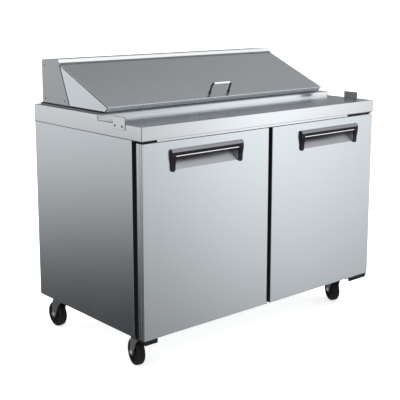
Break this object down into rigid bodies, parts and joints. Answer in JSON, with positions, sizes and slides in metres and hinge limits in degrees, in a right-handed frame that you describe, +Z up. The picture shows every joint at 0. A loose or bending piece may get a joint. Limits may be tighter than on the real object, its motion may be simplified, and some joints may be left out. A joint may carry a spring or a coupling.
{
  "type": "sandwich prep table",
  "caption": "Refrigerated sandwich prep table: stainless cabinet on casters with hinged doors, stepped worktop, pan well, fixed rear hood and sloping hinged lid.",
  "frame": {"origin": "on the floor, under the middle of the table's footprint (casters and door handles included)", "axes": "+Z up, +X to the right of a person facing the doors, +Y from the doors towards the back"},
  "size_m": [1.2334, 0.746, 1.102],
  "materials": {
    "stainless_panel": "satin",
    "stainless_top": "satin",
    "pocket_steel": "satin",
    "zinc_sheet": "satin",
    "foam": "matte",
    "liner_aluminium": "satin",
    "black_plastic": "satin",
    "handle_black": "gloss",
    "gasket_rubber": "matte",
    "pan_steel": "satin",
    "shelf_coating": "satin",
    "bright_steel": "satin",
    "lid_handle_chrome": "polished",
    "hinge_black": "satin",
    "caster_zinc": "satin",
    "wheel_rubber": "matte",
    "compressor_black": "satin",
    "coil_aluminium": "satin",
    "fan_plastic": "satin",
    "knob_plastic": "satin"
  },
  "bodies": {
    "cabinet": {"side_panel_left": "stainless_panel", "side_panel_right": "stainless_panel", "base_pan": "zinc_sheet", "back_panel": "zinc_sheet", "rear_grille": "zinc_sheet", "worktop": "stainless_top", "deck_curb": "stainless_top", "insulation": "foam", "inner_liner": "liner_aluminium", "mullion": "liner_aluminium", "door_frame": "black_plastic", "pan_dividers": "stainless_top", "ingredient_pans": "pan_steel", "shelf_left": "shelf_coating", "shelf_right": "shelf_coating", "shelf_clips": "bright_steel", "hood": "stainless_panel", "hood_insulation": "foam", "lid_hinge_rod": "bright_steel", "board_bracket_left": "stainless_top", "board_bracket_right": "stainless_top", "cover_screws": "bright_steel", "top_hinges": "hinge_black", "bottom_hinges": "hinge_black", "caster_plates": "caster_zinc", "compressor": "compressor_black", "condenser": "coil_aluminium", "evaporator": "coil_aluminium", "control_box": "black_plastic", "cable_gland": "black_plastic"},
    "left_door": {"left_door_skin": "stainless_panel", "left_door_core": "foam", "left_door_liner": "liner_aluminium", "left_door_gasket": "gasket_rubber", "left_door_handle_pocket": "pocket_steel", "left_door_handle": "handle_black", "left_door_edge_trim": "black_plastic"},
    "right_door": {"right_door_skin": "stainless_panel", "right_door_core": "foam", "right_door_liner": "liner_aluminium", "right_door_gasket": "gasket_rubber", "right_door_handle_pocket": "pocket_steel", "right_door_handle": "handle_black", "right_door_edge_trim": "black_plastic"},
    "lid": {"lid_skin": "stainless_panel", "lid_core": "foam", "lid_liner": "liner_aluminium", "lid_handle": "lid_handle_chrome"},
    "caster_front_left": {"caster_fork_front_left": "caster_zinc"},
    "wheel_front_left": {"caster_wheel_front_left": "wheel_rubber"},
    "caster_front_right": {"caster_fork_front_right": "caster_zinc"},
    "wheel_front_right": {"caster_wheel_front_right": "wheel_rubber"},
    "caster_rear_left": {"caster_fork_rear_left": "caster_zinc"},
    "wheel_rear_left": {"caster_wheel_rear_left": "wheel_rubber"},
    "caster_rear_right": {"caster_fork_rear_right": "caster_zinc"},
    "wheel_rear_right": {"caster_wheel_rear_right": "wheel_rubber"},
    "condenser_fan": {"condenser_fan": "fan_plastic"},
    "evaporator_fan": {"evaporator_fan": "fan_plastic"},
    "thermostat_knob": {"thermostat_knob": "knob_plastic"},
    "power_switch": {"power_switch": "knob_plastic"}
  },
  "joints": [
    {"name": "left_door_hinge", "type": "hinge", "parent": "cabinet", "child": "left_door", "pos_m": [-0.597, -0.3415, 0.5], "axis": [0, 0, -1], "range_deg": [0, 110]},
    {"name": "right_door_hinge", "type": "hinge", "parent": "cabinet", "child": "right_door", "pos_m": [0.597, -0.3415, 0.5], "axis": [0, 0, 1], "range_deg": [0, 110]},
    {"name": "lid_hinge", "type": "hinge", "parent": "cabinet", "child": "lid", "pos_m": [0, 0.1855, 1.085], "axis": [-1, 0, 0], "range_deg": [0, 140]},
    {"name": "swivel_front_left", "type": "hinge", "parent": "cabinet", "child": "caster_front_left", "pos_m": [-0.54, -0.2435, 0.13], "axis": [0, 0, 1], "continuous": true},
    {"name": "roll_front_left", "type": "hinge", "parent": "caster_front_left", "child": "wheel_front_left", "pos_m": [-0.53251, -0.20829, 0.051], "axis": [0.9781, -0.2079, 0], "continuous": true},
    {"name": "swivel_front_right", "type": "hinge", "parent": "cabinet", "child": "caster_front_right", "pos_m": [0.54, -0.2435, 0.13], "axis": [0, 0, 1], "continuous": true},
    {"name": "roll_front_right", "type": "hinge", "parent": "caster_front_right", "child": "wheel_front_right", "pos_m": [0.55464, -0.21061, 0.051], "axis": [0.9135, -0.4067, 0], "continuous": true},
    {"name": "swivel_rear_left", "type": "hinge", "parent": "cabinet", "child": "caster_rear_left", "pos_m": [-0.54, 0.2865, 0.13], "axis": [0, 0, 1], "continuous": true},
    {"name": "roll_rear_left", "type": "hinge", "parent": "caster_rear_left", "child": "wheel_rear_left", "pos_m": [-0.54, 0.3225, 0.051], "axis": [1, 0, 0], "continuous": true},
    {"name": "swivel_rear_right", "type": "hinge", "parent": "cabinet", "child": "caster_rear_right", "pos_m": [0.54, 0.2865, 0.13], "axis": [0, 0, 1], "continuous": true},
    {"name": "roll_rear_right", "type": "hinge", "parent": "caster_rear_right", "child": "wheel_rear_right", "pos_m": [0.55053, 0.32093, 0.051], "axis": [0.9563, -0.2924, 0], "continuous": true},
    {"name": "condenser_fan_spin", "type": "hinge", "parent": "cabinet", "child": "condenser_fan", "pos_m": [-0.3, 0.2235, 0.29], "axis": [0, 1, 0], "continuous": true},
    {"name": "evaporator_fan_spin", "type": "hinge", "parent": "cabinet", "child": "evaporator_fan", "pos_m": [0, 0.2385, 0.655], "axis": [0, 1, 0], "continuous": true},
    {"name": "thermostat_turn", "type": "hinge", "parent": "cabinet", "child": "thermostat_knob", "pos_m": [0.435, 0.3385, 0.385], "axis": [0, 1, 0], "range_deg": [0, 270]},
    {"name": "power_rocker", "type": "hinge", "parent": "cabinet", "child": "power_switch", "pos_m": [0.505, 0.331, 0.385], "axis": [1, 0, 0], "range_deg": [-8, 8]}
  ]
}
